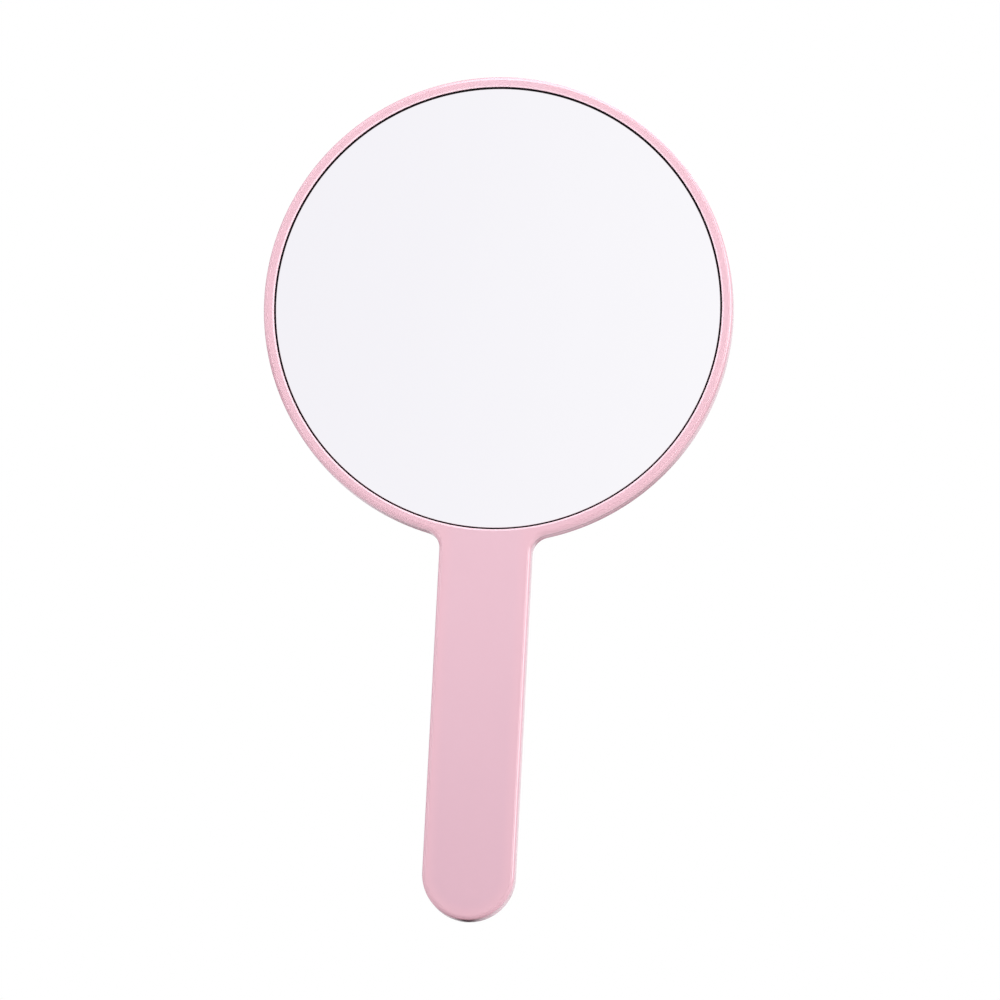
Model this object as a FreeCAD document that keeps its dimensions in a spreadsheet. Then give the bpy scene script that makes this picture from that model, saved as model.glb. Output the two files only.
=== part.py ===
"""Round hand mirror with a straight handle, as a parametric FreeCAD document.

The body is two moulded shells, front and rear, that press together on pins inside a tongue joint.
The glass drops into a round recess in the front shell and is held by die-cut foam tape and a sealing
bead around its edge. The coatings on the back of the glass are separate thin solids.

Frame: millimetres. The origin is the centre of the round head on the flat back face. +Z runs up, from
the handle to the head, and the mirror faces -Y. A depth is a distance from the back face towards the
mirror, along -Y. Sketches lie on XZ planes, so their own x is X, their own y is Z and their normal is -Y.
"""

import FreeCAD, Part

import math
import os
import re

import Sketcher
from FreeCAD import Placement, Rotation, Vector

# Every driving dimension, in millimetres: its name in the spreadsheet, its value and what it measures.
DIMENSIONS = [
    ("head_radius", 62.5, "outer radius of the round head"),
    ("handle_width", 24.4, "width of the straight handle"),
    ("handle_drop", 163.5, "centre of the head to the end of the handle"),
    ("neck_radius", 5.0, "rounding between the head and the handle"),
    ("body_depth", 8.0, "back face to the face of the rim"),
    ("parting_depth", 4.5, "back face to the joint between the shells"),
    ("front_edge_radius", 1.2, "rounding of the outer front edge"),
    ("back_edge_radius", 1.2, "rounding of the outer back edge"),
    ("seam_chamfer", 0.25, "bevel on both shells where they meet"),
    ("rim_width", 2.8, "outside of the head to the wall of the recess"),
    ("mouth_width", 0.45, "width of the bevel at the mouth of the recess, across the rim"),
    ("mouth_depth", 0.12, "depth of that bevel"),
    ("shell_wall", 1.6, "side wall of the rear shell"),
    ("back_plate", 1.8, "back plate of the rear shell"),
    ("face_plate", 1.8, "front plate of the hollow handle"),
    ("mirror_floor", 1.5, "plate of the front shell that carries the glass"),
    ("recess_wall", 1.6, "wall between the recess and the hollow handle"),
    ("tongue_inset", 1.7, "outline to the outside of the tongue"),
    ("cavity_inset", 2.9, "outline to the inside of the tongue"),
    ("tongue_height", 1.4, "length of the tongue inside the rear shell"),
    ("glass_gap", 0.52, "average gap around the glass"),
    ("glass_drop", 0.06, "how far the glass sits below the middle of the recess"),
    ("glass_thickness", 2.0, "float glass"),
    ("glass_sink", 0.3, "face of the rim to the face of the glass"),
    ("glass_arris", 0.06, "ground bevel on the edges of the glass"),
    ("seal_sink", 0.2, "face of the glass to the face of the sealing bead around it"),
    ("seal_clearance", 0.02, "space between that bead and its neighbours"),
    ("silver_thickness", 0.05, "reflecting layer"),
    ("paint_thickness", 0.1, "protective paint behind the reflecting layer"),
    ("tape_thickness", 0.5, "double-sided foam tape"),
    ("tape_ring_outer", 57.0, "outer radius of the tape ring"),
    ("tape_ring_inner", 46.0, "inner radius of the tape ring"),
    ("tape_disc_radius", 18.0, "radius of the tape disc"),
    ("pin_radius", 1.5, "press pins of the front shell"),
    ("socket_radius", 1.52, "holes that the pins press into"),
    ("boss_radius", 3.2, "bosses around those holes"),
    ("inner_gap", 0.1, "space between ribs or bosses and the other shell"),
    ("pin_circle", 48.0, "radius of the circle of pins in the head"),
    ("head_pin_reach", 1.65, "length of the pins in the head"),
    ("head_socket_floor", 1.0, "plastic left under a socket in the head"),
    ("first_pin_drop", 80.0, "centre of the head to the first pin in the handle"),
    ("pin_pitch", 32.0, "spacing of the pins in the handle"),
    ("handle_pin_reach", 3.6, "length of the pins in the handle"),
    ("boss_gap", 0.8, "top of a handle boss to the front plate"),
    ("handle_socket_floor", 1.8, "plastic left under a socket in the handle"),
    ("rib_width", 1.2, "thickness of every rib"),
    ("rib_ring_radius", 30.0, "middle of the round rib in the head"),
    ("rib_hub_radius", 8.0, "where the ribs of the head start"),
    ("rib_end_radius", 59.0, "where the ribs of the head end"),
    ("rail_offset", 7.0, "middle of the handle to each long rib"),
    ("rail_top_drop", 66.0, "centre of the head to the top of the long ribs"),
    ("rail_end_drop", 152.6, "centre of the head to the end of the long ribs"),
    ("rung_half_length", 9.1, "half the length of a cross rib"),
    ("first_rung_drop", 72.0, "centre of the head to the first cross rib"),
    ("rung_pitch", 16.0, "spacing of the cross ribs"),
]
HEAD_PINS = 6
HEAD_RIBS = 12
HANDLE_PINS = 3
HANDLE_RUNGS = 6

# Depths that follow from the stack of glass, coatings and tape.
GLASS_BACK = "body_depth - glass_sink - glass_thickness"
SILVER_BACK = GLASS_BACK + " - silver_thickness"
PAINT_BACK = SILVER_BACK + " - paint_thickness"
FLOOR_FRONT = PAINT_BACK + " - tape_thickness"
FLOOR_BACK = FLOOR_FRONT + " - mirror_floor"
FACE_BACK = "body_depth - face_plate"
GLASS_RADIUS = "head_radius - rim_width - glass_gap"

# From the centre of the head to the middle of the round end of the handle.
END_DROP = "handle_drop - handle_width / 2"

SIZE = {name: value for name, value, _ in DIMENSIONS}
SHEET = "Dimensions"
TOLERANCE = 1e-4

doc = FreeCAD.newDocument("hand_mirror")


def make_sheet():
    """The spreadsheet: a label, a plain number with its alias, and a note for each dimension."""
    sheet = doc.addObject("Spreadsheet::Sheet", SHEET)
    for row, (name, value, note) in enumerate(DIMENSIONS, start=1):
        sheet.set(f"A{row}", name)
        sheet.set(f"B{row}", str(value))
        sheet.setAlias(f"B{row}", name)
        sheet.set(f"C{row}", note)
    doc.recompute()


def bound(formula):
    """A formula of dimension names, as an expression that reads the spreadsheet."""
    return re.sub(r"[a-z][a-z_]+", lambda word: f"{SHEET}.{word.group(0)}", formula)


def new_body(name):
    """An empty body whose label names its file."""
    body = doc.addObject("PartDesign::Body", name)
    body.Label = name
    return body


def new_sketch(body, name, depth):
    """A sketch on the body's own XZ plane, moved forward to a depth given as a formula."""
    sketch = body.newObject("Sketcher::SketchObject", f"{body.Name}_{name}")
    plane = next(item for item in body.Origin.OriginFeatures if item.Role == "XZ_Plane")
    sketch.AttachmentSupport = [(plane, "")]
    sketch.MapMode = "FlatFace"
    sketch.setExpression(".AttachmentOffset.Base.z", bound(depth))
    return sketch


def size_constraint(sketch, name, formula, *reference):
    """Adds a named dimension to a sketch and binds it to a formula.

    The reference ends with a starting value.
    """
    index = sketch.addConstraint(Sketcher.Constraint(*reference))
    sketch.renameConstraint(index, name)
    sketch.setExpression(f"Constraints.{name}", bound(formula))


def arc(centre, radius, start, end):
    """An arc of a circle in sketch coordinates, from one angle anticlockwise to another."""
    return Part.ArcOfCircle(Part.Circle(centre, Vector(0, 0, 1), radius), start, end)


def outline_sketch(body, name, depth, inset=""):
    """The outline of the mirror, moved inwards by one named dimension where inset names one.

    It is six tangent pieces: the head, two concave necks, two straight sides and the round end.
    """
    sketch = new_sketch(body, name, depth)
    shift = SIZE.get(inset, 0.0)
    less = f" - {inset}" if inset else ""
    more = f" + {inset}" if inset else ""
    half = SIZE["handle_width"] / 2
    neck_x = half + SIZE["neck_radius"]
    neck_reach = SIZE["head_radius"] + SIZE["neck_radius"]
    neck_y = -math.sqrt(neck_reach**2 - neck_x**2)
    neck_angle = math.atan2(-neck_y, -neck_x)
    end_y = half - SIZE["handle_drop"]
    head_radius = SIZE["head_radius"] - shift
    neck_radius = SIZE["neck_radius"] + shift
    side_x = half - shift
    head, left_neck, left_side, end, right_side, right_neck = sketch.addGeometry(
        [
            arc(Vector(0, 0, 0), head_radius, neck_angle - math.pi, 2 * math.pi - neck_angle),
            arc(Vector(-neck_x, neck_y, 0), neck_radius, 0, math.pi - neck_angle),
            Part.LineSegment(Vector(-side_x, neck_y, 0), Vector(-side_x, end_y, 0)),
            arc(Vector(0, end_y, 0), side_x, math.pi, 2 * math.pi),
            Part.LineSegment(Vector(side_x, end_y, 0), Vector(side_x, neck_y, 0)),
            arc(Vector(neck_x, neck_y, 0), neck_radius, neck_angle, math.pi),
        ]
    )
    start, finish, centre = 1, 2, 3
    sketch.addConstraint(
        [
            Sketcher.Constraint("Coincident", head, centre, -1, 1),
            Sketcher.Constraint("PointOnObject", end, centre, -2),
            Sketcher.Constraint("Vertical", left_side),
            Sketcher.Constraint("Vertical", right_side),
            Sketcher.Constraint("Equal", left_neck, right_neck),
            Sketcher.Constraint("Tangent", head, finish, left_neck, finish),
            Sketcher.Constraint("Tangent", left_neck, start, left_side, start),
            Sketcher.Constraint("Tangent", left_side, finish, end, start),
            Sketcher.Constraint("Tangent", end, finish, right_side, start),
            Sketcher.Constraint("Tangent", right_side, finish, right_neck, finish),
            Sketcher.Constraint("Tangent", right_neck, start, head, start),
        ]
    )
    size_constraint(sketch, "head", "head_radius" + less, "Radius", head, head_radius)
    size_constraint(sketch, "neck", "neck_radius" + more, "Radius", right_neck, neck_radius)
    size_constraint(sketch, "end", "handle_width / 2" + less, "Radius", end, side_x)
    size_constraint(sketch, "drop", END_DROP, "DistanceY", end, centre, -1, 1, -end_y)
    return sketch


def circle_sketch(body, name, depth, radius, height="", drop=""):
    """One circle, its middle a height above or a drop below the centre of the head."""
    sketch = new_sketch(body, name, depth)
    ring = sketch.addGeometry(Part.Circle(Vector(0, 0, 0), Vector(0, 0, 1), 1))
    if height or drop:
        sketch.addConstraint(Sketcher.Constraint("PointOnObject", ring, 3, -2))
        points = (-1, 1, ring, 3) if height else (ring, 3, -1, 1)
        size_constraint(sketch, "shift", height or drop, "DistanceY", *points, 1)
    else:
        sketch.addConstraint(Sketcher.Constraint("Coincident", ring, 3, -1, 1))
    size_constraint(sketch, "radius", radius, "Radius", ring, 1)
    return sketch


def rectangle_sketch(body, name, depth, left, right, top, bottom):
    """An upright rectangle, with a formula for the distance to each of its sides.

    Left and right are measured from the middle of the mirror, top and bottom from the centre of the head.
    """
    sketch = new_sketch(body, name, depth)
    corners = [Vector(-1, -1, 0), Vector(-1, -2, 0), Vector(1, -2, 0), Vector(1, -1, 0)]
    sides = sketch.addGeometry([Part.LineSegment(corners[k], corners[(k + 1) % 4]) for k in range(4)])
    for k, side in enumerate(sides):
        direction = "Horizontal" if k % 2 else "Vertical"
        sketch.addConstraint(Sketcher.Constraint(direction, side))
        sketch.addConstraint(Sketcher.Constraint("Coincident", side, 2, sides[(k + 1) % 4], 1))
    size_constraint(sketch, "left", left, "DistanceX", sides[0], 1, -1, 1, 1)
    size_constraint(sketch, "right", right, "DistanceX", -1, 1, sides[2], 1, 1)
    size_constraint(sketch, "top", top, "DistanceY", sides[0], 1, -1, 1, 1)
    size_constraint(sketch, "bottom", bottom, "DistanceY", sides[2], 1, -1, 1, 2)
    return sketch


def extrude(body, kind, sketch, length, backwards=False):
    """A Pad or Pocket of a sketch, and a check that it really added or removed material.

    A pad grows forwards, along -Y, and a pocket cuts towards the back face. Backwards turns either round.
    """
    before = volume_of(body)
    feature = body.newObject(f"PartDesign::{kind}", f"{sketch.Name}_{kind}")
    feature.Profile = sketch
    feature.setExpression("Length", bound(length))
    feature.Reversed = backwards
    doc.recompute()
    grew = feature.Shape.Volume - before
    if (grew > 0) != (kind == "Pad") or abs(grew) < TOLERANCE:
        raise RuntimeError(f"{feature.Name} changed the volume by {grew:.4f} mm3")
    return feature


def volume_of(body):
    """The body's volume so far, 0 for an empty one."""
    return 0.0 if body.Shape.isNull() else body.Shape.Volume


def circle_pattern(body, feature, count):
    """Repeats a feature evenly around the axis of the head."""
    pattern = body.newObject("PartDesign::PolarPattern", f"{feature.Name}_Polar")
    pattern.Originals = [feature]
    pattern.Axis = (feature.Profile[0], ["N_Axis"])
    pattern.Angle = 360
    pattern.Occurrences = count
    body.Tip = pattern
    doc.recompute()
    return pattern


def row_pattern(body, feature, count, pitch):
    """Repeats a feature down the handle, at a pitch given as a dimension's name."""
    pattern = body.newObject("PartDesign::LinearPattern", f"{feature.Name}_Row")
    pattern.Originals = [feature]
    pattern.Direction = (feature.Profile[0], ["V_Axis"])
    pattern.Reversed = True
    pattern.setExpression("Length", bound(f"{pitch} * {count - 1}"))
    pattern.Occurrences = count
    body.Tip = pattern
    doc.recompute()
    return pattern


def edges_at(shape, depth, radius=None):
    """Names of the edges that lie flat at a depth, or only the full circles of one radius there."""
    names = []
    for number, edge in enumerate(shape.Edges, start=1):
        box = edge.BoundBox
        flat = abs(box.YMin + depth) < TOLERANCE and abs(box.YMax + depth) < TOLERANCE
        if radius is not None and flat:
            flat = edge.Closed and abs(edge.Curve.Radius - radius) < TOLERANCE
        if flat:
            names.append(f"Edge{number}")
    return names


def soften(body, kind, edges, size):
    """A Fillet or Chamfer of the named edges on the body's last feature."""
    base = body.Tip
    feature = body.newObject(f"PartDesign::{kind}", f"{body.Name}_{kind}")
    feature.Base = (base, edges)
    feature.setExpression("Radius" if kind == "Fillet" else "Size", bound(size))
    doc.recompute()
    return feature


def make_front_shell():
    """Rim, mirror floor, handle face, the tongue that enters the rear shell, and the press pins."""
    body = new_body("front_shell")
    face = outline_sketch(body, "face", "parting_depth")
    extrude(body, "Pad", face, "body_depth - parting_depth")
    soften(body, "Fillet", edges_at(body.Shape, SIZE["body_depth"]), "front_edge_radius")
    soften(body, "Chamfer", edges_at(body.Shape, SIZE["parting_depth"]), "seam_chamfer")

    tongue = outline_sketch(body, "tongue", "parting_depth", "tongue_inset")
    extrude(body, "Pad", tongue, "tongue_height", backwards=True)

    recess = circle_sketch(body, "recess", "body_depth", "head_radius - rim_width")
    extrude(body, "Pocket", recess, "body_depth - (" + FLOOR_FRONT + ")")
    mouth = edges_at(body.Shape, SIZE["body_depth"], SIZE["head_radius"] - SIZE["rim_width"])
    bevel = soften(body, "Chamfer", mouth, "mouth_width")
    bevel.ChamferType = "Two distances"
    bevel.setExpression("Size2", bound("mouth_depth"))
    doc.recompute()

    tongue_end = "parting_depth - tongue_height"
    hollow = outline_sketch(body, "hollow", tongue_end, "cavity_inset")
    extrude(body, "Pocket", hollow, f"{FLOOR_BACK} - ({tongue_end})", backwards=True)
    handle_hollow = handle_hollow_sketch(body)
    extrude(body, "Pocket", handle_hollow, f"{FACE_BACK} - ({FLOOR_BACK})", backwards=True)

    head_pin = circle_sketch(body, "head_pin", FLOOR_BACK, "pin_radius", height="pin_circle")
    circle_pattern(body, extrude(body, "Pad", head_pin, "head_pin_reach", backwards=True), HEAD_PINS)
    handle_pin = circle_sketch(body, "handle_pin", FACE_BACK, "pin_radius", drop="first_pin_drop")
    pin = extrude(body, "Pad", handle_pin, "handle_pin_reach", backwards=True)
    row_pattern(body, pin, HANDLE_PINS, "pin_pitch")
    return body


def handle_hollow_sketch(body):
    """The hollow of the handle: straight sides, a round end, and a top curved around the mirror recess."""
    sketch = new_sketch(body, "handle_hollow", FLOOR_BACK)
    half = SIZE["handle_width"] / 2 - SIZE["cavity_inset"]
    top_radius = SIZE["head_radius"] - SIZE["rim_width"] + SIZE["recess_wall"]
    top_y = -math.sqrt(top_radius**2 - half**2)
    top_angle = math.atan2(top_y, half)
    end_y = SIZE["handle_width"] / 2 - SIZE["handle_drop"]
    top, left, end, right = sketch.addGeometry(
        [
            arc(Vector(0, 0, 0), top_radius, -math.pi - top_angle, top_angle),
            Part.LineSegment(Vector(-half, top_y, 0), Vector(-half, end_y, 0)),
            arc(Vector(0, end_y, 0), half, math.pi, 2 * math.pi),
            Part.LineSegment(Vector(half, end_y, 0), Vector(half, top_y, 0)),
        ]
    )
    start, finish, centre = 1, 2, 3
    sketch.addConstraint(
        [
            Sketcher.Constraint("Coincident", top, centre, -1, 1),
            Sketcher.Constraint("PointOnObject", end, centre, -2),
            Sketcher.Constraint("Vertical", left),
            Sketcher.Constraint("Vertical", right),
            Sketcher.Constraint("Coincident", top, start, left, start),
            Sketcher.Constraint("Tangent", left, finish, end, start),
            Sketcher.Constraint("Tangent", end, finish, right, start),
            Sketcher.Constraint("Coincident", right, finish, top, finish),
        ]
    )
    size_constraint(sketch, "top", "head_radius - rim_width + recess_wall", "Radius", top, top_radius)
    size_constraint(sketch, "end", "handle_width / 2 - cavity_inset", "Radius", end, half)
    size_constraint(sketch, "drop", END_DROP, "DistanceY", end, centre, -1, 1, -end_y)
    return sketch


def make_rear_shell():
    """Back plate and side wall, stiffened by ribs, with bored bosses for the pins."""
    body = new_body("rear_shell")
    plate = outline_sketch(body, "plate", "0")
    extrude(body, "Pad", plate, "parting_depth")
    soften(body, "Fillet", edges_at(body.Shape, 0), "back_edge_radius")
    soften(body, "Chamfer", edges_at(body.Shape, SIZE["parting_depth"]), "seam_chamfer")
    tray = outline_sketch(body, "tray", "parting_depth", "shell_wall")
    extrude(body, "Pocket", tray, "parting_depth - back_plate")

    head_rise = f"{FLOOR_BACK} - inner_gap - back_plate"
    add_head_ribs(body, head_rise)
    add_handle_ribs(body, FACE_BACK + " - inner_gap - back_plate")

    head_boss = circle_sketch(body, "head_boss", "back_plate", "boss_radius", height="pin_circle")
    circle_pattern(body, extrude(body, "Pad", head_boss, head_rise), HEAD_PINS)
    handle_boss = circle_sketch(body, "handle_boss", "back_plate", "boss_radius", drop="first_pin_drop")
    boss = extrude(body, "Pad", handle_boss, FACE_BACK + " - boss_gap - back_plate")
    row_pattern(body, boss, HANDLE_PINS, "pin_pitch")

    head_top = FLOOR_BACK + " - inner_gap"
    head_socket = circle_sketch(body, "head_socket", head_top, "socket_radius", height="pin_circle")
    socket = extrude(body, "Pocket", head_socket, head_top + " - head_socket_floor")
    circle_pattern(body, socket, HEAD_PINS)
    handle_top = FACE_BACK + " - boss_gap"
    handle_socket = circle_sketch(body, "handle_socket", handle_top, "socket_radius", drop="first_pin_drop")
    socket = extrude(body, "Pocket", handle_socket, handle_top + " - handle_socket_floor")
    row_pattern(body, socket, HANDLE_PINS, "pin_pitch")
    return body


def add_head_ribs(body, rise):
    """A round rib and evenly spaced spokes on the back plate of the head."""
    half_rib = "rib_width / 2"
    ring = new_sketch(body, "rib_ring", "back_plate")
    for name, side in (("outside", " + "), ("inside", " - ")):
        circle = ring.addGeometry(Part.Circle(Vector(0, 0, 0), Vector(0, 0, 1), 1))
        ring.addConstraint(Sketcher.Constraint("Coincident", circle, 3, -1, 1))
        size_constraint(ring, name, "rib_ring_radius" + side + half_rib, "Radius", circle, 1)
    extrude(body, "Pad", ring, rise)
    start, end = "rib_hub_radius", "rib_end_radius"
    spoke = rectangle_sketch(body, "spoke", "back_plate", half_rib, half_rib, start, end)
    circle_pattern(body, extrude(body, "Pad", spoke, rise), HEAD_RIBS)


def add_handle_ribs(body, rise):
    """Two long ribs and a row of cross ribs on the back plate of the handle."""
    near = "rail_offset - rib_width / 2"
    far = "rail_offset + rib_width / 2"
    for name, left, right in (("left_rail", far, f"-({near})"), ("right_rail", f"-({near})", far)):
        rail = rectangle_sketch(body, name, "back_plate", left, right, "rail_top_drop", "rail_end_drop")
        extrude(body, "Pad", rail, rise)
    reach = "rung_half_length"
    top = "first_rung_drop - rib_width / 2"
    bottom = "first_rung_drop + rib_width / 2"
    rung = rectangle_sketch(body, "rung", "back_plate", reach, reach, top, bottom)
    row_pattern(body, extrude(body, "Pad", rung, rise), HANDLE_RUNGS, "rung_pitch")


def make_mirror_glass():
    """The glass disc with its ground arris, sitting a little low in the recess."""
    body = new_body("mirror_glass")
    disc = circle_sketch(body, "disc", GLASS_BACK, GLASS_RADIUS, drop="glass_drop")
    extrude(body, "Pad", disc, "glass_thickness")
    circles = [f"Edge{n}" for n, edge in enumerate(body.Shape.Edges, start=1) if edge.Closed]
    soften(body, "Chamfer", circles, "glass_arris")
    return body


def cylinder(name, radius, depth, thickness, drop="0"):
    """A disc whose back is at a depth, growing forwards."""
    disc = doc.addObject("Part::Cylinder", name)
    disc.Placement = Placement(Vector(0, 0, 0), Rotation(Vector(1, 0, 0), 90))
    disc.setExpression("Radius", bound(radius))
    disc.setExpression("Height", bound(thickness))
    disc.setExpression(".Placement.Base.y", bound(f"-({depth})"))
    disc.setExpression(".Placement.Base.z", bound(f"-({drop})"))
    disc.Label = name
    return disc


def cut(name, blank, hole):
    """A piece that is one solid with another cut out of it."""
    piece = doc.addObject("Part::Cut", name)
    piece.Base = blank
    piece.Tool = hole
    piece.Label = name
    return piece


def make_coatings():
    """The reflecting layer and the paint behind it, stopping at the ground edge of the glass."""
    radius = GLASS_RADIUS + " - glass_arris"
    silver = cylinder("silver_layer", radius, SILVER_BACK, "silver_thickness", "glass_drop")
    paint = cylinder("backing_paint", radius, PAINT_BACK, "paint_thickness", "glass_drop")
    return [silver, paint]


def make_tape():
    """Die-cut foam tape between the mirror floor and the paint: a ring and a centre disc."""
    blank = cylinder("tape_ring_blank", "tape_ring_outer", FLOOR_FRONT, "tape_thickness")
    hole = cylinder("tape_ring_hole", "tape_ring_inner", FLOOR_FRONT, "tape_thickness")
    disc = cylinder("tape_disc", "tape_disc_radius", FLOOR_FRONT, "tape_thickness")
    return [cut("tape_ring", blank, hole), disc]


def make_edge_seal():
    """The sealing bead between the glass and the wall of the recess, a little below the glass face."""
    outside = "head_radius - rim_width - seal_clearance"
    inside = GLASS_RADIUS + " + seal_clearance"
    height = "body_depth - glass_sink - seal_sink - (" + FLOOR_FRONT + ")"
    blank = cylinder("edge_seal_blank", outside, FLOOR_FRONT, height)
    hole = cylinder("edge_seal_hole", inside, FLOOR_FRONT, height, "glass_drop")
    return cut("edge_seal", blank, hole)


def check(pieces):
    """Stops with a message if an object failed, a sketch is loose, or a piece is not valid solids."""
    for item in doc.Objects:
        if "Invalid" in item.State or "Error" in item.State:
            raise RuntimeError(f"{item.Name} failed: {item.State}")
        if item.TypeId == "Sketcher::SketchObject" and not item.FullyConstrained:
            raise RuntimeError(f"{item.Name} is not fully constrained")
    for piece in pieces:
        shape = piece.Shape
        if shape.isNull() or not shape.isValid() or not shape.Solids:
            raise RuntimeError(f"{piece.Label} is not a valid solid")


def write(pieces):
    """One STEP file for each piece, named by its label."""
    os.makedirs("parts", exist_ok=True)
    for piece in pieces:
        piece.Shape.exportStep(os.path.join("parts", piece.Label + ".step"))
        print(f"{piece.Label}: {len(piece.Shape.Solids)} solid, {piece.Shape.Volume / 1000:.3f} cm3")


make_sheet()
pieces = [make_front_shell(), make_rear_shell(), make_mirror_glass()]
pieces += [*make_coatings(), *make_tape(), make_edge_seal()]
doc.recompute()
check(pieces)
write(pieces)
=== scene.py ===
"""A round pink hand mirror: the looks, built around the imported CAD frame.

The two moulded shells and the glass are rebuilt as dense meshes in the CAD's own frame: metres, +Z up
along the handle, the mirror facing -Y, the origin at the centre of the head on the flat back face. A
depth is a distance from the back face towards the mirror.
"""

import math

import bmesh
import bpy
from mathutils import Matrix, Vector

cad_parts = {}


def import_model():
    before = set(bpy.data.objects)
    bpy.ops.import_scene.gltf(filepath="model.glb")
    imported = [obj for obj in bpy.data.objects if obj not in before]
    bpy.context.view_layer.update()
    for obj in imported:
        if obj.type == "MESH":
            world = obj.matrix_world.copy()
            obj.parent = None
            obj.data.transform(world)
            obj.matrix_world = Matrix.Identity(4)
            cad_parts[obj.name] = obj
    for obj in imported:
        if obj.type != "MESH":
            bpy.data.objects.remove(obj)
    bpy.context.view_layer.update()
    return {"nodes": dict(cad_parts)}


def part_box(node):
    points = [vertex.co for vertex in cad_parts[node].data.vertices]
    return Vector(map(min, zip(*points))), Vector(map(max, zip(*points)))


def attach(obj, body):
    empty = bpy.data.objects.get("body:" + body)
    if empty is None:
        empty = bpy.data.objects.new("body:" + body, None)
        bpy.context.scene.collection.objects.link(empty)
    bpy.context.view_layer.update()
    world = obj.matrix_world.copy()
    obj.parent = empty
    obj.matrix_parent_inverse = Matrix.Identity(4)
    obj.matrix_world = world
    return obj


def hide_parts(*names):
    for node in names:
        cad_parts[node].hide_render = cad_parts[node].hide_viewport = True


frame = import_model()

MM = 0.001

# Air between the glass and the reflecting layer, so that the two surfaces don't lie in one plane.
SILVER_GAP = 0.02 * MM

# Sizes read from the frame. The tape lies on the floor of the recess, and the pins in the head reach
# further back than anything else on the front shell.
FRONT_LOW, FRONT_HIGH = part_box("front_shell")
GLASS_LOW, GLASS_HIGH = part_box("mirror_glass")
TAPE_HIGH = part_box("tape_ring")[1]
HEAD_RADIUS = FRONT_HIGH.x
HANDLE_DROP = -FRONT_LOW.z
BODY_DEPTH = -FRONT_LOW.y
HEAD_PIN_END = -FRONT_HIGH.y
GLASS_RADIUS = GLASS_HIGH.x
GLASS_CENTRE = (GLASS_LOW.z + GLASS_HIGH.z) / 2
GLASS_BACK = -GLASS_HIGH.y + SILVER_GAP
GLASS_FRONT = -GLASS_LOW.y
RECESS_FLOOR = -TAPE_HIGH.y

# Sizes that no box shows, as in the CAD. A drop is a distance below the centre of the head, and an end or a
# top is a depth.
HANDLE_HALF = 12.2 * MM
NECK_RADIUS = 5.0 * MM
PARTING_DEPTH = 4.5 * MM
FRONT_EDGE = 1.2 * MM
BACK_EDGE = 1.2 * MM
SEAM_CHAMFER = 0.25 * MM
RIM_WIDTH = 2.8 * MM
MOUTH_WIDTH = 0.45 * MM
MOUTH_DEPTH = 0.12 * MM
GLASS_ARRIS = 0.06 * MM
MIRROR_FLOOR = 1.5 * MM
FACE_PLATE = 1.8 * MM
BACK_PLATE = 1.8 * MM
SHELL_WALL = 1.6 * MM
RECESS_WALL = 1.6 * MM
TONGUE_INSET = 1.7 * MM
CAVITY_INSET = 2.9 * MM
TONGUE_HEIGHT = 1.4 * MM
PIN_RADIUS = 1.5 * MM
SOCKET_RADIUS = 1.52 * MM
BOSS_RADIUS = 3.2 * MM
HEAD_BOSS_TOP = 3.45 * MM
HANDLE_BOSS_TOP = 5.4 * MM
HANDLE_RIB_TOP = 6.1 * MM
HANDLE_PIN_END = 2.6 * MM
HEAD_SOCKET_END = 1.0 * MM
HANDLE_SOCKET_END = 1.8 * MM
PIN_CIRCLE = 48 * MM
HEAD_PINS = 6
HANDLE_PIN_DROPS = [(80 + 32 * i) * MM for i in range(3)]
RIB_HALF = 0.6 * MM
RIB_RING = 30 * MM
HEAD_RIBS = 12
SPOKE_START = 8 * MM
SPOKE_END = 59 * MM
RAIL_OFFSET = 7 * MM
RAIL_FIRST_DROP = 66 * MM
RAIL_LAST_DROP = 152.6 * MM
RUNG_HALF = 9.1 * MM
RUNG_DROPS = [(72 + 16 * i) * MM for i in range(6)]

RECESS_RADIUS = HEAD_RADIUS - RIM_WIDTH
TONGUE_END = PARTING_DEPTH - TONGUE_HEIGHT
FLOOR_BACK = RECESS_FLOOR - MIRROR_FLOOR
FACE_BACK = BODY_DEPTH - FACE_PLATE

# How finely the curves are divided, and the circles that divide the flat back.
BACK_CIRCLES = [58 * MM, 48 * MM, 36 * MM, 22 * MM, 8 * MM]
HEAD_STEPS = 132
NECK_STEPS = 14
SIDE_STEPS = 28
END_STEPS = 24
ACROSS_STEPS = 16
EDGE_STEPS = 8
ROUND_STEPS = 32
HOOP_STEPS = 108

# Narrow strips of faces beside an edge, which keep the shading of the flat beyond them even.
SUPPORT = 0.08 * MM
FINE_SUPPORT = 0.03 * MM

# How far joined or cut solids run into each other, and how far a cut stays clear of a wall beside it.
OVERLAP = 0.3 * MM
LEDGE = 0.02 * MM

# Points closer than WELD become one, and faces that meet at SHARP_ANGLE or more are shaded apart.
WELD = 0.001 * MM
SHARP_ANGLE = math.radians(32)

# The centre of the neck's rounding, the height of the centre of the handle's round end, and the angle
# from the top of the head to where the neck starts.
NECK_X = HANDLE_HALF + NECK_RADIUS
NECK_Z = -math.sqrt((HEAD_RADIUS + NECK_RADIUS) ** 2 - NECK_X**2)
END_Z = HANDLE_HALF - HANDLE_DROP
HEAD_SPAN = math.pi - math.atan2(NECK_X, -NECK_Z)


# The outline of the mirror. Points are (x, z). Angles on the head are clockwise from its top.


def head_point(radius, angle):
    """A point on a circle about the centre of the head."""
    return radius * math.sin(angle), radius * math.cos(angle)


def arc_across(radius, reach):
    """An arc about the centre of the head, from an angle right of the bottom to the same angle left."""
    angles = [reach * (1 - 2 * i / ACROSS_STEPS) for i in range(ACROSS_STEPS + 1)]
    return [(radius * math.sin(angle), -radius * math.cos(angle)) for angle in angles]


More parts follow.
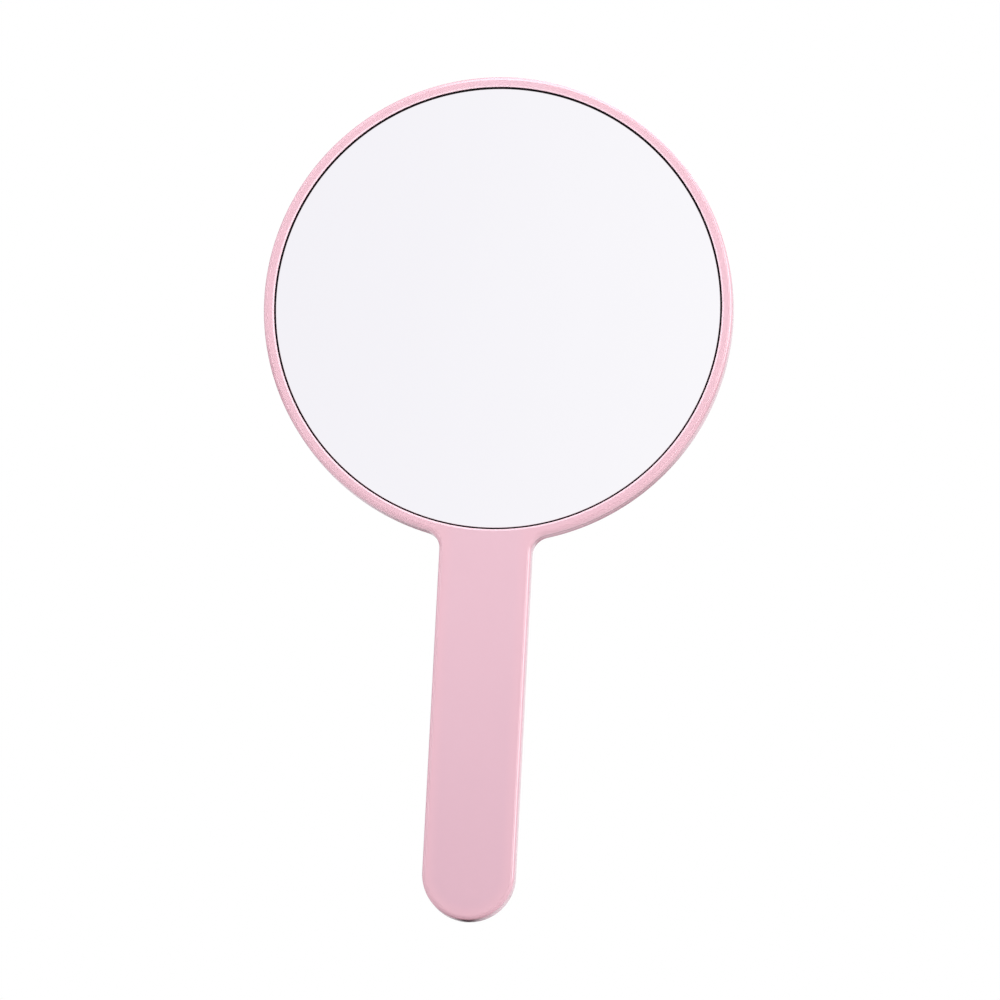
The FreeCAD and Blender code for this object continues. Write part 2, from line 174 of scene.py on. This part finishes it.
def half_outline(inset):
    """The right half of the outline moved inwards, from the top of the head to the tip of the handle."""
    radius = HEAD_RADIUS - inset
    points = [head_point(radius, HEAD_SPAN * i / HEAD_STEPS) for i in range(HEAD_STEPS + 1)]
    neck_start = math.atan2(-NECK_Z, -NECK_X)
    neck = NECK_RADIUS + inset
    for i in range(1, NECK_STEPS + 1):
        angle = neck_start + (math.pi - neck_start) * i / NECK_STEPS
        points.append((NECK_X + neck * math.cos(angle), NECK_Z + neck * math.sin(angle)))
    half = HANDLE_HALF - inset
    for i in range(1, SIDE_STEPS + 1):
        points.append((half, NECK_Z + (END_Z - NECK_Z) * i / SIDE_STEPS))
    for i in range(1, END_STEPS + 1):
        angle = math.pi / 2 * i / END_STEPS
        points.append((half * math.cos(angle), END_Z - half * math.sin(angle)))
    points[-1] = (0.0, END_Z - half)
    return points


def whole_outline(inset):
    """The closed outline, clockwise from the top."""
    right = half_outline(inset)
    return right + [(-x, z) for x, z in reversed(right[1:-1])]


def circle(radius, centre=(0.0, 0.0)):
    """A circle whose points line up with those of the outline along the head."""
    right = [HEAD_SPAN * i / HEAD_STEPS for i in range(HEAD_STEPS + 1)]
    gap = 2 * (math.pi - HEAD_SPAN)
    bottom = [HEAD_SPAN + gap * i / ACROSS_STEPS for i in range(1, ACROSS_STEPS)]
    left = [2 * math.pi - angle for angle in reversed(right[1:])]
    points = [head_point(radius, angle) for angle in right + bottom + left]
    return [(x + centre[0], z + centre[1]) for x, z in points]


def plain_circle(radius, centre=(0.0, 0.0), steps=ROUND_STEPS):
    """An evenly divided circle, with no point straight above its centre."""
    points = [head_point(radius, 2 * math.pi * (i + 0.5) / steps) for i in range(steps)]
    return [(centre[0] + x, centre[1] + z) for x, z in points]


def rectangle(left, right, bottom, top):
    """Its corners, clockwise from the top left."""
    return [(left, top), (right, top), (right, bottom), (left, bottom)]


def turned(points, angle):
    """Points turned clockwise about the centre of the head."""
    cos, sin = math.cos(angle), math.sin(angle)
    return [(x * cos + z * sin, z * cos - x * sin) for x, z in points]


class Skin:
    """A mesh under construction, made of rings of points that lie at one depth each."""

    def __init__(self):
        self.points = []
        self.faces = []

    def ring(self, points, depth):
        """Adds points at one depth and returns their numbers."""
        start = len(self.points)
        self.points += [(x, -depth, z) for x, z in points]
        return list(range(start, len(self.points)))

    def band(self, first, second):
        """Quads between two rings with the same number of points."""
        count = len(first)
        for i in range(count):
            j = (i + 1) % count
            self.faces.append((first[i], first[j], second[j], second[i]))

    def bands(self, rings):
        """A band between each ring and the next."""
        for first, second in zip(rings, rings[1:]):
            self.band(first, second)

    def cap(self, ring):
        """One flat face that closes a ring."""
        self.faces.append(tuple(ring))

    def face_with_handle(self, inset, depth, circles):
        """A flat face as wide as the outline moved inwards, around circles given largest first.

        Rows across the handle are arcs about the centre of the head, so the quads stay even from head
        to tip. Returns the outer ring and the innermost circle.
        """
        rings = [self.ring(circle(radius), depth) for radius in [HEAD_RADIUS - inset, *circles]]
        self.bands(rings)
        head = rings[0]
        row = head[HEAD_STEPS : HEAD_STEPS + ACROSS_STEPS + 1]
        right, left = [], []
        side = half_outline(inset)
        for x, z in side[HEAD_STEPS + 1 : -1]:
            next_row = self.ring(arc_across(math.hypot(x, z), math.atan2(x, -z)), depth)
            for i in range(ACROSS_STEPS):
                self.faces.append((row[i], row[i + 1], next_row[i + 1], next_row[i]))
            right.append(next_row[0])
            left.append(next_row[-1])
            row = next_row
        tip = self.ring([side[-1]], depth)[0]
        for i in range(ACROSS_STEPS):
            self.faces.append((row[i], row[i + 1], tip))
        head_right, head_left = head[: HEAD_STEPS + 1], head[HEAD_STEPS + ACROSS_STEPS :]
        return head_right + right + [tip] + left[::-1] + head_left, rings[-1]

    def outline_bands(self, outer, profile):
        """Continues from an outer ring through a list of (inset, depth) and returns the last ring."""
        rings = [outer] + [self.ring(whole_outline(inset), depth) for inset, depth in profile]
        self.bands(rings)
        return rings[-1]

    def circle_bands(self, inner, profile, centre=(0.0, 0.0)):
        """Continues from a circle through a list of (radius, depth) and returns the last ring."""
        rings = [inner] + [self.ring(circle(radius, centre), depth) for radius, depth in profile]
        self.bands(rings)
        return rings[-1]

    def prism(self, points, low, high):
        """A closed block between two depths."""
        bottom, top = self.ring(points, low), self.ring(points, high)
        self.band(bottom, top)
        self.cap(bottom)
        self.cap(top)

    def tube(self, outer, inner, low, high):
        """A closed round wall between two outlines and two depths."""
        corners = ((outer, low), (outer, high), (inner, high), (inner, low))
        rings = [self.ring(points, depth) for points, depth in corners]
        self.bands([*rings, rings[0]])

    def build(self, name):
        """The mesh as an object."""
        mesh = bpy.data.meshes.new(name)
        mesh.from_pydata(self.points, [], self.faces)
        work = bmesh.new()
        work.from_mesh(mesh)
        bmesh.ops.recalc_face_normals(work, faces=work.faces)
        work.to_mesh(mesh)
        work.free()
        piece = bpy.data.objects.new(name, mesh)
        bpy.context.scene.collection.objects.link(piece)
        return piece


def rounding(radius):
    """A quarter circle as (distance in from the wall, distance in from the face), from face to wall."""
    angles = [math.pi / 2 * i / EDGE_STEPS for i in range(EDGE_STEPS + 1)]
    return [(radius * (1 - math.sin(a)), radius * (1 - math.cos(a))) for a in angles]


def block(outline, low, high):
    """A closed block between two depths. Its outline is a list of points, or an outer and an inner list."""
    skin = Skin()
    if isinstance(outline, tuple):
        skin.tube(*outline, low, high)
    else:
        skin.prism(outline, low, high)
    return skin.build("tool")


def combine(piece, operation, blocks):
    """Adds blocks, given as (outline, low, high), to a piece or cuts them out of it, one at a time."""
    for outline, low, high in blocks:
        tool = block(outline, low, high)
        change = piece.modifiers.new("change", "BOOLEAN")
        change.operation = operation
        change.solver = "EXACT"
        change.object = tool
        evaluated = piece.evaluated_get(bpy.context.evaluated_depsgraph_get())
        mesh = bpy.data.meshes.new_from_object(evaluated)
        piece.modifiers.clear()
        old = piece.data
        piece.data = mesh
        bpy.data.meshes.remove(old)
        mesh.name = piece.name
        tool_mesh = tool.data
        bpy.data.objects.remove(tool)
        bpy.data.meshes.remove(tool_mesh)


def shade(piece):
    """Removes faces without area and splits many-sided ones, then shades smoothly up to SHARP_ANGLE."""
    work = bmesh.new()
    work.from_mesh(piece.data)
    bmesh.ops.remove_doubles(work, verts=work.verts, dist=WELD)
    bmesh.ops.dissolve_degenerate(work, dist=WELD, edges=work.edges)
    bmesh.ops.triangulate(work, faces=[face for face in work.faces if len(face.verts) > 4])
    bmesh.ops.dissolve_degenerate(work, dist=WELD, edges=work.edges)
    for face in work.faces:
        face.smooth = True
    for edge in work.edges:
        edge.smooth = len(edge.link_faces) == 2 and edge.calc_face_angle() < SHARP_ANGLE
    work.to_mesh(piece.data)
    work.free()


# The pieces.


def head_pin_centres():
    """Evenly spaced on a circle, the first one at the top of the head."""
    return [head_point(PIN_CIRCLE, 2 * math.pi * i / HEAD_PINS) for i in range(HEAD_PINS)]


def handle_pin_centres():
    """Along the middle of the handle."""
    return [(0.0, -drop) for drop in HANDLE_PIN_DROPS]


def handle_hollow():
    """The outline of the hollow behind the face of the handle, a hair inside the wall of the tongue."""
    half = HANDLE_HALF - CAVITY_INSET - LEDGE
    top = RECESS_RADIUS + RECESS_WALL
    points = arc_across(top, math.asin(half / top))
    for i in range(2 * END_STEPS + 1):
        angle = math.pi * i / (2 * END_STEPS)
        points.append((-half * math.cos(angle), END_Z - half * math.sin(angle)))
    return points


def front_shell():
    """Rim, recess, handle face, outer wall, the tongue behind them and the press pins."""
    skin = Skin()
    flat_inner = RECESS_RADIUS + MOUTH_WIDTH + FINE_SUPPORT
    outer, mouth = skin.face_with_handle(FRONT_EDGE + SUPPORT, BODY_DEPTH, [flat_inner])
    wall = [(inset, BODY_DEPTH - drop) for inset, drop in rounding(FRONT_EDGE)]
    wall += [
        (0.0, BODY_DEPTH - FRONT_EDGE - SUPPORT),
        (0.0, PARTING_DEPTH + SEAM_CHAMFER),
        (SEAM_CHAMFER, PARTING_DEPTH),
        (TONGUE_INSET, PARTING_DEPTH),
        (TONGUE_INSET, TONGUE_END),
        (CAVITY_INSET, TONGUE_END),
        (CAVITY_INSET, FLOOR_BACK),
    ]
    skin.cap(skin.outline_bands(outer, wall))
    slope = MOUTH_DEPTH / MOUTH_WIDTH
    recess = [
        (RECESS_RADIUS + MOUTH_WIDTH, BODY_DEPTH),
        (RECESS_RADIUS + MOUTH_WIDTH - FINE_SUPPORT, BODY_DEPTH - FINE_SUPPORT * slope),
        (RECESS_RADIUS + FINE_SUPPORT, BODY_DEPTH - MOUTH_DEPTH + FINE_SUPPORT * slope),
        (RECESS_RADIUS, BODY_DEPTH - MOUTH_DEPTH),
        (RECESS_RADIUS, RECESS_FLOOR),
    ]
    skin.cap(skin.circle_bands(mouth, recess))
    piece = skin.build("front_cover")
    combine(piece, "DIFFERENCE", [(handle_hollow(), TONGUE_END - OVERLAP, FACE_BACK)])
    root, handle_root = FLOOR_BACK + OVERLAP, FACE_BACK + OVERLAP
    pins = [(plain_circle(PIN_RADIUS, c), HEAD_PIN_END, root) for c in head_pin_centres()]
    pins += [(plain_circle(PIN_RADIUS, c), HANDLE_PIN_END, handle_root) for c in handle_pin_centres()]
    combine(piece, "UNION", pins)
    return piece


def rear_shell():
    """Flat back, outer wall up to the joint, and the ribs and pin bosses behind it."""
    skin = Skin()
    outer, centre = skin.face_with_handle(BACK_EDGE + SUPPORT, 0.0, BACK_CIRCLES)
    skin.cap(centre)
    wall = [(inset, drop) for inset, drop in rounding(BACK_EDGE)]
    wall += [
        (0.0, BACK_EDGE + SUPPORT),
        (0.0, PARTING_DEPTH - SEAM_CHAMFER),
        (SEAM_CHAMFER, PARTING_DEPTH),
        (SHELL_WALL, PARTING_DEPTH),
        (SHELL_WALL, BACK_PLATE),
    ]
    skin.cap(skin.outline_bands(outer, wall))
    piece = skin.build("back_cover")
    base = BACK_PLATE - OVERLAP
    combine(piece, "UNION", [(points, base, top) for points, top in ribs() + bosses()])
    head_mouth, handle_mouth = HEAD_BOSS_TOP + OVERLAP, HANDLE_BOSS_TOP + OVERLAP
    sockets = [(plain_circle(SOCKET_RADIUS, c), HEAD_SOCKET_END, head_mouth) for c in head_pin_centres()]
    for c in handle_pin_centres():
        sockets.append((plain_circle(SOCKET_RADIUS, c), HANDLE_SOCKET_END, handle_mouth))
    combine(piece, "DIFFERENCE", sockets)
    return piece


def ribs():
    """Outlines of the ribs of the rear shell with the depth of their tops."""
    spoke = rectangle(-RIB_HALF, RIB_HALF, SPOKE_START, SPOKE_END)
    hoop = tuple(plain_circle(RIB_RING + side, steps=HOOP_STEPS) for side in (RIB_HALF, -RIB_HALF))
    made = [(hoop, HEAD_BOSS_TOP)]
    made += [(turned(spoke, 2 * math.pi * i / HEAD_RIBS), HEAD_BOSS_TOP) for i in range(HEAD_RIBS)]
    for middle in (-RAIL_OFFSET, RAIL_OFFSET):
        rail = rectangle(middle - RIB_HALF, middle + RIB_HALF, -RAIL_LAST_DROP, -RAIL_FIRST_DROP)
        made.append((rail, HANDLE_RIB_TOP))
    for drop in RUNG_DROPS:
        rung = rectangle(-RUNG_HALF, RUNG_HALF, -drop - RIB_HALF, -drop + RIB_HALF)
        made.append((rung, HANDLE_RIB_TOP))
    return made


def bosses():
    """Outlines of the bosses of the rear shell with the depth of their tops."""
    made = [(plain_circle(BOSS_RADIUS, centre), HEAD_BOSS_TOP) for centre in head_pin_centres()]
    return made + [(plain_circle(BOSS_RADIUS, centre), HANDLE_BOSS_TOP) for centre in handle_pin_centres()]


def glass_disc():
    """The glass with its ground edge bevels."""
    skin = Skin()
    centre = (0.0, GLASS_CENTRE)
    flat = GLASS_RADIUS - GLASS_ARRIS
    start = skin.ring(circle(flat - FINE_SUPPORT, centre), GLASS_FRONT)
    skin.cap(start)
    profile = [
        (flat, GLASS_FRONT),
        (GLASS_RADIUS, GLASS_FRONT - GLASS_ARRIS),
        (GLASS_RADIUS, GLASS_BACK + GLASS_ARRIS),
        (flat, GLASS_BACK),
        (flat - FINE_SUPPORT, GLASS_BACK),
    ]
    skin.cap(skin.circle_bands(start, profile, centre))
    return skin.build("glass_pane")


# Materials. A tone is a linear colour with its opacity, and waves are a noise's waves per metre. A grain is
# the range of a noise that becomes the whole range of a colour or a roughness.

GRAIN = (0.3, 0.7)

# The pink plastic: its tones, darker below as painted shade and paler above as painted light, the distances
# inside the outline between which the edge tone, a redder painted glow of light through the plastic, fades
# out, and the height where it is palest. Orange peel is a fine bump.
# Painted light and shade: the lower tone is the plastic in painted shade towards the tip, the upper one the
# plastic in painted light towards the head.
SHADED_LOWER_PINK = (0.600, 0.353, 0.418, 1.0)
LIT_UPPER_PINK = (0.688, 0.424, 0.488, 1.0)
# Painted glow: a redder tone near the outline stands in for light passing through the plastic at its edges.
EDGE_GLOW_PINK = (0.710, 0.390, 0.440, 1.0)
EDGE_GLOW_SHARE = 0.4
EDGE_GLOW_REACH = (0.6 * MM, 4.5 * MM)
PAINTED_LIGHT_FULL_ABOVE = -30 * MM
CLOUD_WAVES = 18.0
CLOUD_GRAIN = (0.35, 0.65)
CLOUD_SHARE = 0.06
PINK_IOR = 2.0
PEEL_WAVES = 700.0
PEEL_STRENGTH = 0.03
PEEL_DEPTH = 0.05 * MM
WIPE_WAVES = 160.0
WIPE_ROUGHNESS = (0.12, 0.16)

# The silvered glass.
SILVERED_TONES = ((0.92, 0.925, 0.93, 1.0), (0.93, 0.935, 0.94, 1.0))
GLASS_IOR = 1.52
SMEAR_WAVES = 60.0
SMEAR_STRETCH = (1.0, 1.0, 0.4)
SMEAR_GRAIN = (0.45, 0.75)
SMEAR_ROUGHNESS = (0.0, 0.012)


def material(name):
    """An empty material, its node tree, and the place of a point on the piece, in metres."""
    made = bpy.data.materials.new(name)
    made.use_nodes = True
    tree = made.node_tree
    tree.nodes.clear()
    return made, tree, node(tree, "ShaderNodeTexCoord").outputs["Object"]


def node(tree, kind, inputs=None, **settings):
    """Adds a node, sets its properties, and sets or links its inputs."""
    made = tree.nodes.new(kind)
    for key, value in settings.items():
        setattr(made, key, value)
    for key, value in (inputs or {}).items():
        if isinstance(value, bpy.types.NodeSocket):
            tree.links.new(value, made.inputs[key])
        else:
            made.inputs[key].default_value = value
    return made


def maths(tree, operation, *values):
    """The result of one operation."""
    made = node(tree, "ShaderNodeMath", dict(enumerate(values)), operation=operation)
    return made.outputs[0]


def chain(tree, operation, *values):
    """One sum or product of several values."""
    total = values[0]
    for value in values[1:]:
        total = maths(tree, operation, total, value)
    return total


def noise(tree, coordinates, waves, detail=2.0, stretch=(1.0, 1.0, 1.0)):
    """A noise value, around 0.5."""
    mapped = node(tree, "ShaderNodeMapping", {"Vector": coordinates, "Scale": stretch})
    inputs = {"Vector": mapped.outputs[0], "Scale": waves, "Detail": detail}
    return node(tree, "ShaderNodeTexNoise", inputs).outputs["Fac"]


def remap(tree, value, low, high, to_low, to_high, smooth=False):
    """A value moved from one range to another, and held at the ends."""
    inputs = {"Value": value, "From Min": low, "From Max": high, "To Min": to_low, "To Max": to_high}
    kind = "SMOOTHSTEP" if smooth else "LINEAR"
    return node(tree, "ShaderNodeMapRange", inputs, interpolation_type=kind).outputs["Result"]


def window(tree, value, low, high, soft):
    """1 while a value lies between two limits, and down to 0 over a soft margin outside them."""
    rising = remap(tree, value, low - soft, low, 0.0, 1.0, smooth=True)
    falling = remap(tree, value, high, high + soft, 1.0, 0.0, smooth=True)
    return maths(tree, "MULTIPLY", rising, falling)


def mix_colour(tree, factor, first, second):
    """A colour between two. On a Mix node they are inputs 6 and 7, and the result is output 2."""
    return node(tree, "ShaderNodeMix", {0: factor, 6: first, 7: second}, data_type="RGBA").outputs[2]


def length(tree, x, z):
    """The length of a flat vector."""
    squares = maths(tree, "ADD", maths(tree, "MULTIPLY", x, x), maths(tree, "MULTIPLY", z, z))
    return maths(tree, "SQRT", squares)


def outline_distance(tree, place):
    """How far a point lies inside the outline of the mirror, in metres."""
    split = node(tree, "ShaderNodeSeparateXYZ", {0: place})
    x, z = split.outputs["X"], split.outputs["Z"]
    below = maths(tree, "MAXIMUM", maths(tree, "SUBTRACT", END_Z, z), 0.0)
    head_inset = maths(tree, "SUBTRACT", HEAD_RADIUS, length(tree, x, z))
    handle_inset = maths(tree, "SUBTRACT", HANDLE_HALF, length(tree, x, below))
    return maths(tree, "MAXIMUM", head_inset, handle_inset)


def surface(tree, inputs):
    """Ends a material with one principled shader."""
    shader = node(tree, "ShaderNodeBsdfPrincipled", inputs)
    node(tree, "ShaderNodeOutputMaterial", {"Surface": shader.outputs[0]})


def plastic():
    """Glossy pink plastic: redder along its edges as a painted glow of light, darker towards the tip and
    paler above as painted shade and light, with orange peel and wipe marks.
    """
    made, tree, place = material("moulded_plastic")
    cloud = remap(tree, noise(tree, place, CLOUD_WAVES), *CLOUD_GRAIN, -CLOUD_SHARE, CLOUD_SHARE)
    # Painted light and shade: pale grows with height, so the plastic is darker towards the tip and paler
    # towards the head; the cloud adds a random tone.
    height = node(tree, "ShaderNodeSeparateXYZ", {0: place}).outputs["Z"]
    pale = maths(tree, "ADD", remap(tree, height, END_Z, PAINTED_LIGHT_FULL_ABOVE, 0.0, 1.0), cloud)
    body = mix_colour(tree, pale, SHADED_LOWER_PINK, LIT_UPPER_PINK)
    # Painted glow: edge is the share of the redder tone near the outline, standing in for light coming
    # through the plastic.
    edge = remap(tree, outline_distance(tree, place), *EDGE_GLOW_REACH, EDGE_GLOW_SHARE, 0.0, smooth=True)
    peel = noise(tree, place, PEEL_WAVES)
    bump = node(tree, "ShaderNodeBump", {"Height": peel, "Strength": PEEL_STRENGTH, "Distance": PEEL_DEPTH})
    wipe = noise(tree, place, WIPE_WAVES, detail=4.0)
    inputs = {
        "Base Color": mix_colour(tree, edge, body, EDGE_GLOW_PINK),
        "Roughness": remap(tree, wipe, *GRAIN, *WIPE_ROUGHNESS),
        "Normal": bump.outputs[0],
        "IOR": PINK_IOR,
    }
    surface(tree, inputs)
    return made


def glass():
    """Silvered glass: a mirror under a clear coat, with a few faint wipe marks."""
    made, tree, place = material("mirror_glass")
    smear = noise(tree, place, SMEAR_WAVES, detail=4.0, stretch=SMEAR_STRETCH)
    inputs = {
        "Base Color": mix_colour(tree, smear, *SILVERED_TONES),
        "Metallic": 1.0,
        "Roughness": remap(tree, smear, *SMEAR_GRAIN, *SMEAR_ROUGHNESS),
        "Coat Weight": 1.0,
        "Coat Roughness": 0.0,
        "Coat IOR": GLASS_IOR,
    }
    surface(tree, inputs)
    return made


def plain(name, dark, light, waves, roughness, metallic=0.0, ior=1.5):
    """A material whose colour and roughness vary a little with a noise."""
    made, tree, place = material(name)
    grain = noise(tree, place, waves, detail=3.0)
    inputs = {
        "Base Color": mix_colour(tree, grain, dark, light),
        "Roughness": remap(tree, grain, *GRAIN, *roughness),
        "Metallic": metallic,
        "IOR": ior,
    }
    surface(tree, inputs)
    return made


# Stage, lights and camera, in metres. The floor fades out between two distances from its middle. AIM is the
# middle of the view, FIELD_WIDTH is how wide the view is there, and SENSOR is in millimetres.

FLOOR_HALF = 1.2
FLOOR_GAP = 0.2 * MM
FLOOR_FADE = (0.25, 0.8)
FLOOR_TONES = ((0.62, 0.62, 0.625, 1.0), (0.66, 0.66, 0.665, 1.0))
FLOOR_WAVES = 40.0
FLOOR_ROUGHNESS = 0.6
AIM = Vector((0.0030, -0.004, -0.05119))
CAMERA_DISTANCE = 2.0
CAMERA_AZIMUTH = math.radians(4.58)
CAMERA_ELEVATION = math.radians(-8.49)
CAMERA_ROLL = math.radians(2.975)
FIELD_WIDTH = 0.26511
SENSOR = 36.0

# The studio that the mirror reflects. The first two limits are cosines of the angle to the direction that
# the glass shows to the camera. The others are parts of a direction along x, y or z, from -1 to 1. A light
# is how bright a part of the studio is, and shares multiply it.
FRONT_COSINES = (0.965, 0.985)
FRONT_LIGHT = 0.86
RING_COSINES = (0.825, 0.9)
RING_MARGIN = 0.025
RING_LIGHT = 3.4
SIDES_IN_Y = (-0.4, 0.05)
SIDES_MARGIN = 0.15
LEFT_LIGHT = 1.5
RIGHT_LIGHT = 2.3
SIDES_FADE_IN_Z = (-0.1, 0.1)
LOW_SIDES_SHARE = 0.3
BACK_IN_Y = (0.2, 0.6)
BACK_LIGHT = (0.15, 0.85)
HORIZON_IN_Z = (-0.06, 0.03)
BELOW_IN_Y = (-0.3, 0.2)
BELOW_SHARES = (0.95, 0.25)
ACROSS_IN_X = (-0.13, -0.02)
ACROSS_SHARES = (0.97, 1.02)
LILAC = (0.985, 0.965, 1.01, 1.0)
NEUTRAL = (1.0, 0.985, 1.01, 1.0)


def direction_from(azimuth, elevation):
    """Towards a viewer who looks along +Y at azimuth 0, and stands further right as it grows."""
    flat = math.cos(elevation)
    return Vector((math.sin(azimuth) * flat, -math.cos(azimuth) * flat, math.sin(elevation)))


def floor():
    """A pale floor just under the handle. It fades out with distance, and can't be seen from below."""
    mesh = bpy.data.meshes.new("floor")
    corners = ((-1, -1), (1, -1), (1, 1), (-1, 1))
    mesh.from_pydata([(x * FLOOR_HALF, y * FLOOR_HALF, 0.0) for x, y in corners], [], [(0, 1, 2, 3)])
    piece = bpy.data.objects.new("floor", mesh)
    piece.location.z = -HANDLE_DROP - FLOOR_GAP
    bpy.context.scene.collection.objects.link(piece)
    made, tree, place = material("floor")
    distance = node(tree, "ShaderNodeVectorMath", {0: place}, operation="LENGTH").outputs["Value"]
    fade = remap(tree, distance, *FLOOR_FADE, 0.0, 1.0, smooth=True)
    below = node(tree, "ShaderNodeNewGeometry").outputs["Backfacing"]
    colour = mix_colour(tree, noise(tree, place, FLOOR_WAVES, detail=3.0), *FLOOR_TONES)
    matte = node(tree, "ShaderNodeBsdfPrincipled", {"Base Color": colour, "Roughness": FLOOR_ROUGHNESS})
    clear = node(tree, "ShaderNodeBsdfTransparent")
    hidden = maths(tree, "MAXIMUM", fade, below)
    mixed = node(tree, "ShaderNodeMixShader", {0: hidden, 1: matte.outputs[0], 2: clear.outputs[0]})
    node(tree, "ShaderNodeOutputMaterial", {"Surface": mixed.outputs[0]})
    mesh.materials.append(made)


def studio_strength(tree, direction):
    """How bright the studio is in a direction: four parts together, dimmer below the horizon."""
    split = node(tree, "ShaderNodeSeparateXYZ", {0: direction})
    x, y, z = split.outputs["X"], split.outputs["Y"], split.outputs["Z"]
    mirrored = direction_from(-CAMERA_AZIMUTH, -CAMERA_ELEVATION)
    compare = node(tree, "ShaderNodeVectorMath", {0: direction, 1: mirrored}, operation="DOT_PRODUCT")
    facing = compare.outputs["Value"]
    front = remap(tree, facing, *FRONT_COSINES, 0.0, FRONT_LIGHT, smooth=True)
    ring = maths(tree, "MULTIPLY", window(tree, facing, *RING_COSINES, RING_MARGIN), RING_LIGHT)
    upper = remap(tree, z, *SIDES_FADE_IN_Z, LOW_SIDES_SHARE, 1.0, smooth=True)
    rightwards = remap(tree, x, -1.0, 1.0, LEFT_LIGHT, RIGHT_LIGHT)
    sides = chain(tree, "MULTIPLY", window(tree, y, *SIDES_IN_Y, SIDES_MARGIN), upper, rightwards)
    back = remap(tree, y, *BACK_IN_Y, *BACK_LIGHT, smooth=True)
    below = remap(tree, y, *BELOW_IN_Y, *BELOW_SHARES, smooth=True)
    horizon = remap(tree, z, *HORIZON_IN_Z, below, 1.0, smooth=True)
    across = remap(tree, x, *ACROSS_IN_X, *ACROSS_SHARES, smooth=True)
    return chain(tree, "MULTIPLY", chain(tree, "ADD", front, ring, sides, back), horizon, across)


def studio_tint(tree, direction):
    """Slightly lilac light on the left that turns more neutral towards the right."""
    x = node(tree, "ShaderNodeSeparateXYZ", {0: direction}).outputs["X"]
    return mix_colour(tree, remap(tree, x, *ACROSS_IN_X, 0.0, 1.0, smooth=True), LILAC, NEUTRAL)


def world():
    """A white backdrop for the camera, and a softly shaded studio for everything that reflects it."""
    made = bpy.data.worlds.new("studio")
    bpy.context.scene.world = made
    made.use_nodes = True
    tree = made.node_tree
    tree.nodes.clear()
    direction = node(tree, "ShaderNodeTexCoord").outputs["Generated"]
    tint, strength = studio_tint(tree, direction), studio_strength(tree, direction)
    seen = node(tree, "ShaderNodeBackground", {"Color": (1.0, 1.0, 1.0, 1.0), "Strength": 1.0})
    light = node(tree, "ShaderNodeBackground", {"Color": tint, "Strength": strength})
    camera_ray = node(tree, "ShaderNodeLightPath").outputs["Is Camera Ray"]
    mixed = node(tree, "ShaderNodeMixShader", {0: camera_ray, 1: light.outputs[0], 2: seen.outputs[0]})
    node(tree, "ShaderNodeOutputWorld", {"Surface": mixed.outputs[0]})


def softbox(name, azimuth, elevation, distance, width, height, radiance):
    """A rectangular light aimed at the mirror, with angles in degrees. Radiance is how bright it looks."""
    light = bpy.data.lights.new(name, "AREA")
    light.shape = "RECTANGLE"
    light.size = width
    light.size_y = height
    light.energy = radiance * math.pi * width * height
    lamp = bpy.data.objects.new(name, light)
    away = direction_from(math.radians(azimuth), math.radians(elevation))
    lamp.location = AIM + away * distance
    lamp.rotation_euler = away.to_track_quat("Z", "Y").to_euler()
    lamp.visible_camera = False
    bpy.context.scene.collection.objects.link(lamp)


def camera():
    """A long lens below and right of the mirror, turned about its axis."""
    lens = bpy.data.cameras.new("camera")
    lens.sensor_width = SENSOR
    lens.lens = SENSOR * CAMERA_DISTANCE / FIELD_WIDTH
    lens.clip_start = 0.01
    lens.clip_end = 50.0
    made = bpy.data.objects.new("camera", lens)
    away = direction_from(CAMERA_AZIMUTH, CAMERA_ELEVATION)
    made.location = AIM + away * CAMERA_DISTANCE
    turn = away.to_track_quat("Z", "Y").to_matrix() @ Matrix.Rotation(CAMERA_ROLL, 3, "Z")
    made.rotation_euler = turn.to_euler()
    bpy.context.scene.collection.objects.link(made)
    bpy.context.scene.camera = made


def dress(piece, cad_node, finish):
    """Gives a rebuilt piece its material and its place in the frame."""
    shade(piece)
    piece.data.materials.append(finish)
    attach(piece, "root")
    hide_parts(cad_node)


def inner_finishes():
    """The materials of the CAD nodes that are shown as packed."""
    foam_tones = (0.7, 0.7, 0.68, 1.0), (0.85, 0.85, 0.83, 1.0)
    foam = plain("foam_tape", *foam_tones, waves=2500.0, roughness=(0.7, 0.9))
    silver_tones = (0.93, 0.93, 0.94, 1.0), (0.95, 0.95, 0.955, 1.0)
    silver = plain("silver", *silver_tones, waves=30.0, roughness=(0.0, 0.004), metallic=1.0)
    paint_tones = (0.16, 0.17, 0.19, 1.0), (0.2, 0.21, 0.23, 1.0)
    paint = plain("backing_paint", *paint_tones, waves=900.0, roughness=(0.5, 0.7))
    # Partly painted shade: the sealant bead is a real part, but it is made near black and almost without
    # reflection so that it stands in for the shade in the gap around the glass.
    shade_bead_tones = (0.003, 0.003, 0.003, 1.0), (0.006, 0.006, 0.007, 1.0)
    shade_bead = plain("sealant", *shade_bead_tones, waves=1500.0, roughness=(0.7, 0.9), ior=1.15)
    return {
        "silver_layer": silver,
        "backing_paint": paint,
        "edge_seal": shade_bead,
        "tape_ring": foam,
        "tape_disc": foam,
    }


pink = plastic()
dress(front_shell(), "front_shell", pink)
dress(rear_shell(), "rear_shell", pink)
dress(glass_disc(), "mirror_glass", glass())
for name, finish in inner_finishes().items():
    carried = frame["nodes"][name]
    carried.data.materials.clear()
    carried.data.materials.append(finish)

floor()
world()
softbox("right_box", azimuth=62, elevation=10, distance=0.7, width=0.25, height=0.45, radiance=2.5)
softbox("top_box", azimuth=0, elevation=62, distance=0.55, width=0.3, height=0.2, radiance=2.5)
softbox("back_box", azimuth=155, elevation=50, distance=0.9, width=0.5, height=0.5, radiance=3.0)
camera()
bpy.context.scene.view_settings.view_transform = "Standard"
